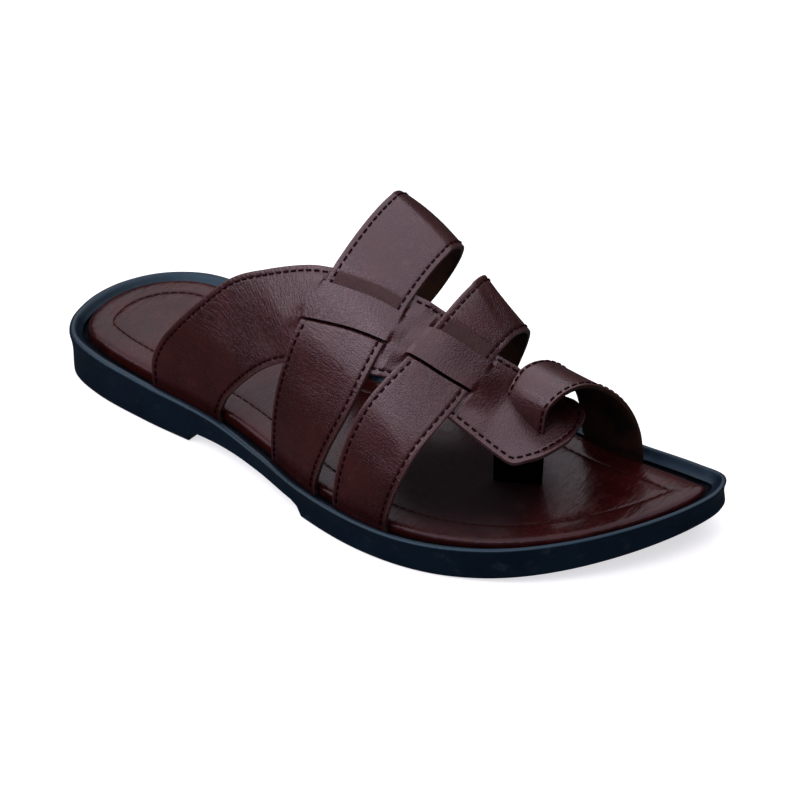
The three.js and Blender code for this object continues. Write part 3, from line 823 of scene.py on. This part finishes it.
def make_cross_strap(name, strap):
    around = np.unique(np.concatenate([np.linspace(*span) for span in CROSS_ROWS]))
    rear, front = (follow(strap, "around", edge, around) * LENGTH for edge in ("rear", "front"))
    share = strap_columns(front - rear, 24)
    x = rear[:, None] + (front - rear)[:, None] * share
    turn = np.broadcast_to(around[:, None], x.shape)
    base, normal = last_point(x, turn), last_normal(x, turn)
    outer_slit, inner_slit = slit_at("outSlit", x), slit_at("inSlit", x)
    rise = np.clip((turn - inner_slit) / MEDIAL_RAMP, 0, 1)
    dip = smooth(1 + (turn - outer_slit) / LATERAL_RAMP) * (1 - rise)
    falling = smooth((inner_slit + FOLD_END - turn) / (FOLD_END - MEDIAL_RAMP))
    proud = FOLD_HEIGHT * np.clip(1 + (turn - inner_slit) / FOLD_START, 0, 1) * falling
    girth = np.linalg.norm(np.diff(base, axis=0), axis=2).sum(0).mean()
    crack = np.exp(-(((turn - outer_slit) * girth + CRACK_HALF_WIDTH) / CRACK_HALF_WIDTH) ** 2)
    lift = -STRAP_DIP * dip - CRACK_DEPTH * crack + proud + relief(CROSS_CREASES[name], turn, share)
    edge = edge_distance(base, base[:, 0], base[:, -1])
    at_outer_slit = smooth(1 - np.abs(turn - outer_slit) / OUTER_BEND_REACH)
    at_inner_slit = smooth(1 - np.abs(turn - inner_slit) / INNER_BEND_REACH)
    bend = 0.3 + 0.3 * at_outer_slit + 0.4 * at_inner_slit
    # Strip of painted shade beside the medial slit, where the strap turns down out of the light, kept inside
    # the seams.
    from_slit = (turn - inner_slit) * girth
    fold_shade = smooth((from_slit + FOLD_BLUR / 2) / FOLD_BLUR) * smooth((FOLD_STRIP - from_slit) / FOLD_FADE)
    fold_shade = fold_shade * smooth((edge - SEAM_INSET) / FOLD_MARGIN)
    marks = np.where(crack > CRACK_IS_DARK, SLIT, PLAIN)
    face = strap_piece(name, base, normal, lift, edge, bend, marks, ("first", "last"), fold_shade=fold_shade)
    strap_seams.extend(seam_lines(face, normal, edge))


for name, strap in CROSS_STRAPS.items():
    make_cross_strap(name, strap)

# ---------------------------------------------------------------- Spine strap
# One strap that rises from the lateral groove beside the heel and runs down the instep to a flap
# over the toes. Pairs of slits let the cross straps through: its middle passes over them and its two
# margins under them. The flap's medial corner curls up.
SPINE_REST = -0.6
SPINE_RAISE = 1
SPINE_SETTLE = 0.08
SPINE_SUBSTEPS = 36
WEAVE_RAMP = 1.4
SOFT_RAMP = 9
SLIT_REACH = 7
SLIT_HALF_WIDTH = 0.2
SLIT_SHOWS = 0.6
NARROWEST = 12
SLIT_STEPS = np.array([-0.9, -0.45, -0.18, -0.06, 0.06, 0.18, 0.45, 0.9])
SPINE_CREASES = table("row across reach spread height", [
    (3.4, 0.55, 0.7, 0.30, 0.60), (5.0, 0.70, 0.5, 0.22, -0.55), (5.9, 0.45, 0.5, 0.30, 0.50),
    (6.9, 0.75, 0.4, 0.25, -0.40), (1.6, 0.45, 0.8, 0.30, -0.50), (10.35, 0.36, 0.35, 0.28, -0.55),
    (12.9, 0.42, 0.50, 0.30, -0.80), (15.4, 0.45, 0.9, 0.25, 0.45),
])
WRINKLES_START = 2.5
WRINKLES_END = 10
CURL_HEIGHT = 2.6
CURL_WIDTH = 11
CURL_START = 13.6


def crossing_at(x, around, ramp):
    """1 where a cross strap passes the spine, fading to 0 over a ramp beside it."""
    shares = []
    for strap in CROSS_STRAPS.values():
        from_rear = x - follow(strap, "around", "rear", around) * LENGTH
        to_front = follow(strap, "around", "front", around) * LENGTH - x
        shares.append(smooth(1 + from_rear / ramp) * smooth(1 + to_front / ramp))
    return np.maximum(*shares)


def make_spine_strap():
    end = len(SPINE["inAlong"]) - 1
    row = np.linspace(0, end, end * SPINE_SUBSTEPS + 1)
    edges = [last_point(*spine_at(row, side)) for side in (0, 1)]
    width = np.linalg.norm(edges[1] - edges[0], axis=1)
    slits = [follow(SPINE, "row", name, row) for name in ("inSlit", "outSlit")]
    clusters = [slit[:, None] + SLIT_STEPS / np.maximum(width, NARROWEST)[:, None] for slit in slits]
    share = np.sort(np.concatenate([strap_columns(width, 26), *clusters], axis=1), axis=1)
    rows = np.broadcast_to(row[:, None], share.shape)
    x, around = spine_at(rows, share)
    base, normal = last_point(x, around), last_normal(x, around)
    is_middle = (share > slits[0][:, None]) & (share < slits[1][:, None])
    from_slit = np.minimum(*[np.abs(share - slit[:, None]) for slit in slits]) * width[:, None]
    crossing = crossing_at(x, around, WEAVE_RAMP)
    away = smooth(from_slit / SLIT_REACH)
    raised = crossing + (crossing_at(x, around, SOFT_RAMP) - crossing) * away
    lift = SPINE_REST * smooth(around / SPINE_SETTLE) + np.where(is_middle, 1, -1) * SPINE_RAISE * raised
    from_medial = share * width[:, None]
    lift += relief(SPINE_CREASES, rows, share)
    lift += CURL_HEIGHT * smooth(1 - from_medial / CURL_WIDTH) ** 2 * smooth((rows - CURL_START) / 2)
    edge = edge_distance(base, base[:, 0], base[:, -1], base[-1])
    bend = 0.2 + 0.8 * smooth((rows - WRINKLES_START) / 1.5) * smooth((WRINKLES_END - rows) / 3)
    from_lateral_slit = np.abs(share - slits[1][:, None]) * width[:, None]
    is_slit = (from_lateral_slit < SLIT_HALF_WIDTH) & (crossing > SLIT_SHOWS)
    marks = np.where(is_slit, SLIT, PLAIN)
    face = strap_piece("spine_strap", base, normal, lift, edge, bend, marks, ("first",))
    medial, lateral = seam_lines(face, normal, edge)
    strap_seams.append(np.concatenate([medial, lateral[::-1]]))


make_spine_strap()

# ---------------------------------------------------------------- Toe loop
# A narrow lined strap stitched along both edges. It stands in a slot of the footbed beside the big
# toe as a post, comes up through the flap, and goes over the toe down to the medial groove. The post
# takes the near-black slit shadow finish: painted shade for the dark under the flap.
SLOT_DEPTH = 2.5
LOOP = table("rearAlong rearAside rearUp frontAlong frontAside frontUp", [
    (0.7189, -0.0237, -0.0209, 0.7793, 0.0482, -0.0217), (0.7186, -0.0155, 0.0963, 0.7849, 0.0358, 0.0877),
    (0.7204, -0.0054, 0.2120, 0.7906, 0.0218, 0.2002), (0.7247, 0.0128, 0.3228, 0.7959, 0.0084, 0.3128),
    (0.7296, 0.0515, 0.4178, 0.8018, 0.0156, 0.4093), (0.7322, 0.1201, 0.4718, 0.8118, 0.0723, 0.4605),
    (0.7382, 0.2066, 0.4631, 0.8214, 0.1573, 0.4587), (0.7438, 0.2856, 0.4059, 0.8296, 0.2385, 0.4061),
    (0.7486, 0.3470, 0.3166, 0.8386, 0.3110, 0.3196), (0.7524, 0.3850, 0.2126, 0.8465, 0.3620, 0.2176),
    (0.7550, 0.4020, 0.1023, 0.8529, 0.3880, 0.1056), (0.7576, 0.4020, 0.0000, 0.8576, 0.3870, 0.0000),
])
LOOP_SUBSTEPS = 20
LOOP_SEAM_INSET = 1.3
LOOP_END = len(LOOP["rearAlong"]) - 1
LOOP_STEP = 0.05
LOOP_MARGIN = 0.01
LOOP_BEND_ROW = 3.6
LOOP_BEND_REACH = 1.6
POST_END = 1.7


def loop_point(row, across):
    """Place on the loop's outer face, from its post to its medial end."""
    def share(way):
        rear, front = (follow(LOOP, "row", edge + way, row) for edge in ("rear", "front"))
        return (1 - across) * rear + across * front

    x = share("Along") * LENGTH
    y = share("Aside") * BALL_WIDTH
    z = rim_at(x) + share("Up") * INSTEP_HEIGHT
    y = np.where(row >= LOOP_END, groove_at(x, 1.0), y)
    z = np.where(row >= LOOP_END, rim_at(x) + FOOT_RISE, z)
    z = np.where(row <= 0, footbed_at(x) - SLOT_DEPTH + SEAT_GAP, z)
    return np.stack([x, y, z], axis=-1)


def make_toe_loop():
    row = np.linspace(0, LOOP_END, LOOP_END * LOOP_SUBSTEPS + 1)
    width = np.linalg.norm(loop_point(row, 1.0) - loop_point(row, 0.0), axis=1)
    share = strap_columns(width, 18)
    rows = np.broadcast_to(row[:, None], share.shape)
    base = loop_point(rows, share)
    ends = LOOP_MARGIN, LOOP_END - LOOP_MARGIN
    middle = np.clip(rows, *ends)
    before, after = (np.clip(middle + step, *ends) for step in (-LOOP_STEP, LOOP_STEP))
    up = loop_point(after, share) - loop_point(before, share)
    normal = unit(np.cross(loop_point(middle, 1.0) - loop_point(middle, 0.0), up))
    edge = edge_distance(base, base[:, 0], base[:, -1])
    bend = 0.15 + 0.3 * smooth(1 - np.abs(rows - LOOP_BEND_ROW) / LOOP_BEND_REACH)
    # Painted shade: the post under the flap takes the near-black slit shadow finish.
    marks = np.where(rows < POST_END, SLIT, PLAIN)
    face = strap_piece(
        "toe_loop", base, normal, np.zeros_like(edge), edge, bend, marks, ("last",), LOOP_SEAM_INSET,
        wall=LINING,
    )
    is_sewn = row >= POST_END
    strap_seams.extend(seam_lines(face[is_sewn], normal[is_sewn], edge[is_sewn], LOOP_SEAM_INSET))


make_toe_loop()

# ---------------------------------------------------------------- Stitching
# Waxed maroon thread, about seven stitches to the inch, along every free edge of the straps, and a
# finer dark thread round the footbed. Each stitch is a short bow whose ends sink into the leather.
STRAP_STITCHES = {"Pitch": 3.45, "Length": 0.60 * 3.45, "Thickness": 0.90, "Bow": 0.12}
FOOTBED_STITCHES = {"Pitch": 3.6, "Length": 0.80 * 3.6, "Thickness": 0.42, "Bow": 0.12}
FOOTBED_SEAM_RISE = 0.10


def thread_finish(name, low, high):
    made = Finish(name, IOR=1.5, Specular_IOR_Level=0.05)
    at = made.place((1, 1, 1), (0.6, 0.3, 0.9))
    twist = made.noise(at, 0.5, 2)
    tint = made.mix(twist.between(0.35, 0.65), low, high)
    return made.wear(Base_Color=tint, Roughness=0.46 + twist * 0.12, Normal=made.bump(twist, 0.06))


def stitch_tree():
    """Geometry nodes that lay stitches along lines, upright on the normals that the lines carry."""
    tree = bpy.data.node_groups.new("seam_stitches", "GeometryNodeTree")
    tree.interface.new_socket("Geometry", in_out="INPUT", socket_type="NodeSocketGeometry")
    for name in ("Pitch", "Length", "Thickness", "Bow"):
        tree.interface.new_socket(name, in_out="INPUT", socket_type="NodeSocketFloat")
    tree.interface.new_socket("Thread", in_out="INPUT", socket_type="NodeSocketMaterial")
    tree.interface.new_socket("Geometry", in_out="OUTPUT", socket_type="NodeSocketGeometry")

    def node(kind, settings=None, inputs=None):
        made = tree.nodes.new(kind)
        for name, value in (settings or {}).items():
            setattr(made, name, value)
        for name, value in (inputs or {}).items():
            if isinstance(value, bpy.types.NodeSocket):
                tree.links.new(value, made.inputs[name])
            else:
                made.inputs[name].default_value = value
        return made.outputs

    def times(size, share):
        return node("ShaderNodeMath", {"operation": "MULTIPLY"}, {0: size, 1: share})[0]

    given = node("NodeGroupInput")
    half = times(given["Length"], 0.5)
    behind = times(half, -1.0)
    sunk = times(given["Bow"], -1.0)
    radius = times(given["Thickness"], 0.5)
    start = node("ShaderNodeCombineXYZ", None, {"X": behind, "Z": sunk})[0]
    finish = node("ShaderNodeCombineXYZ", None, {"X": half, "Z": sunk})[0]
    top = node("ShaderNodeCombineXYZ", None, {"Z": given["Bow"]})[0]
    bow = node("GeometryNodeCurveQuadraticBezier", None, {
        "Resolution": 5, "Start": start, "Middle": top, "End": finish})[0]
    round_ = node("GeometryNodeCurvePrimitiveCircle", None, {"Resolution": 6, "Radius": radius})[0]
    stitch = node("GeometryNodeCurveToMesh", None, {
        "Curve": bow, "Profile Curve": round_, "Fill Caps": True})[0]
    line = node("GeometryNodeMeshToCurve", None, {"Mesh": given["Geometry"]})[0]
    even = node("GeometryNodeResampleCurve", {"mode": "LENGTH"}, {"Curve": line, "Length": given["Pitch"]})[0]
    way = node("GeometryNodeInputTangent")[0]
    upright = node("GeometryNodeInputNamedAttribute", {"data_type": "FLOAT_VECTOR"}, {
        "Name": "upright"})[0]
    turned = node("FunctionNodeAlignRotationToVector", {"axis": "X"}, {"Vector": way})[0]
    stood = node("FunctionNodeAlignRotationToVector", {"axis": "Z", "pivot_axis": "X"}, {
        "Rotation": turned, "Vector": upright})[0]
    laid = node("GeometryNodeInstanceOnPoints", None, {
        "Points": even, "Instance": stitch, "Rotation": stood})[0]
    real = node("GeometryNodeRealizeInstances", None, {"Geometry": laid})[0]
    soft = node("GeometryNodeSetShadeSmooth", None, {"Geometry": real})[0]
    done = node("GeometryNodeSetMaterial", None, {"Geometry": soft, "Material": given["Thread"]})[0]
    node("NodeGroupOutput", None, {"Geometry": done})
    return tree


stitches = stitch_tree()


def sew(name, lines, sizes, thread):
    """Stitches of given sizes along lines of places and normals, made one plain mesh."""
    places, edges, uprights = [], [], []
    for line in lines:
        edges += [(len(places) + i, len(places) + i + 1) for i in range(len(line) - 1)]
        places += ((line[:, :3] - (HEEL_REST * LENGTH, 0, 0)) * MILLIMETRE).tolist()
        uprights.append(unit(line[:, 3:]))
    mesh = bpy.data.meshes.new(name + "_lines")
    mesh.from_pydata(places, edges, [])
    uprights = np.concatenate(uprights).ravel()
    mesh.attributes.new("upright", "FLOAT_VECTOR", "POINT").data.foreach_set("vector", uprights)
    guide = in_scene(name + "_lines", mesh)
    modifier = guide.modifiers.new("stitches", "NODES")
    modifier.node_group = stitches
    items = stitches.interface.items_tree
    inputs = {item.name: item.identifier for item in items if item.in_out == "INPUT"}
    for label, size in sizes.items():
        modifier[inputs[label]] = size * MILLIMETRE
    modifier[inputs["Thread"]] = thread
    seen = guide.evaluated_get(bpy.context.evaluated_depsgraph_get())
    plain = bpy.data.meshes.new_from_object(seen)
    plain.name = name
    guide.modifiers.remove(modifier)
    bpy.data.objects.remove(guide)
    piece = in_scene(name, plain)
    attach(piece, "root")


maroon = thread_finish("maroon_thread", (0.0042, 0.0002, 0.0009, 1), (0.0150, 0.0010, 0.0028, 1))
sew("strap_stitching", strap_seams, STRAP_STITCHES, maroon)

seam = ring(INSOLE_EDGE + INSOLE_SEAM, lambda x: footbed_at(x) + FOOTBED_SEAM_RISE)
seam = np.concatenate([seam, seam[:1]])
seam = np.column_stack([seam, np.broadcast_to((0, 0, 1), seam.shape)])
dark_thread = thread_finish("dark_brown_thread", (0.0080, 0.0018, 0.0016, 1), (0.0180, 0.0045, 0.0035, 1))
sew("footbed_stitching", [seam], FOOTBED_STITCHES, dark_thread)

# ---------------------------------------------------------------- Floor, light and camera
# A plain pale floor under broad soft lights, the strongest of them above and behind the sandal.
# The camera has the photograph's angle, distance and slight roll.
FLOOR_HALF = 6.0
FLOOR_LEVEL = -0.0002
CAMERA_AZIMUTH = np.radians(40.5)
CAMERA_ELEVATION = np.radians(34.6)
CAMERA_ROLL = np.radians(-3.0)
CAMERA_DISTANCE = 1.329
CAMERA_TARGET = Vector((0.11244, 0.016, 0.015))
FOCAL_SHARE = 3377 / 800
SENSOR_WIDTH = 36
LIGHT_COLOUR = (0.985, 0.960, 1.0)
LIGHTS = (
    ("soft_ceiling", (-0.42, 0.62, 1.60), 3.9, 89),
    ("soft_lateral_side", (-0.25, -1.30, 1.48), 1.5, 17),
    ("soft_heel_side", (-1.35, -1.05, 0.85), 0.9, 6.5),
)

floor_mesh = bpy.data.meshes.new("floor")
quarters = ((-1, -1), (1, -1), (1, 1), (-1, 1))
floor_mesh.from_pydata(
    [(a * FLOOR_HALF, b * FLOOR_HALF, FLOOR_LEVEL) for a, b in quarters], [], [(0, 1, 2, 3)]
)
floor = in_scene("floor", floor_mesh)
pale = Finish(
    "pale_floor", Roughness=0.55, Specular_IOR_Level=0.25, Emission_Color=(0.98, 0.97, 1.0, 1),
    Emission_Strength=0.68,
)
haze = pale.mix(pale.noise(pale.place(), 300, 2), (0.48, 0.48, 0.49, 1), (0.50, 0.50, 0.50, 1))
floor_mesh.materials.append(pale.wear(Base_Color=haze))
floor.visible_glossy = False

world = bpy.data.worlds.new("studio")
world.use_nodes = True
sky = world.node_tree.nodes["Background"].inputs
sky["Color"].default_value = (0.93, 0.95, 1.0, 1)
sky["Strength"].default_value = 0.045
bpy.context.scene.world = world

for name, place, size, power in LIGHTS:
    lamp = bpy.data.lights.new(name, "AREA")
    lamp.shape, lamp.size, lamp.energy, lamp.color = "SQUARE", size, power, LIGHT_COLOUR
    holder = in_scene(name, lamp)
    holder.location = place
    aim = Vector((0, 0, -1)) if name == "soft_ceiling" else CAMERA_TARGET - Vector(place)
    holder.rotation_euler = aim.to_track_quat("-Z", "Y").to_euler()

back = Vector((
    np.sin(CAMERA_AZIMUTH) * np.cos(CAMERA_ELEVATION),
    -np.cos(CAMERA_AZIMUTH) * np.cos(CAMERA_ELEVATION),
    np.sin(CAMERA_ELEVATION),
))
level = Vector((np.cos(CAMERA_AZIMUTH), np.sin(CAMERA_AZIMUTH), 0))
upward = back.cross(level)
right = level * np.cos(CAMERA_ROLL) + upward * np.sin(CAMERA_ROLL)
top = upward * np.cos(CAMERA_ROLL) - level * np.sin(CAMERA_ROLL)
lens = bpy.data.cameras.new("camera")
lens.sensor_fit = "HORIZONTAL"
lens.sensor_width = SENSOR_WIDTH
lens.lens = SENSOR_WIDTH * FOCAL_SHARE
camera = in_scene("camera", lens)
turned = Matrix((right, top, back)).transposed().to_4x4()
camera.matrix_world = Matrix.Translation(CAMERA_TARGET + back * CAMERA_DISTANCE) @ turned
bpy.context.scene.camera = camera
bpy.context.scene.view_settings.view_transform = "Standard"
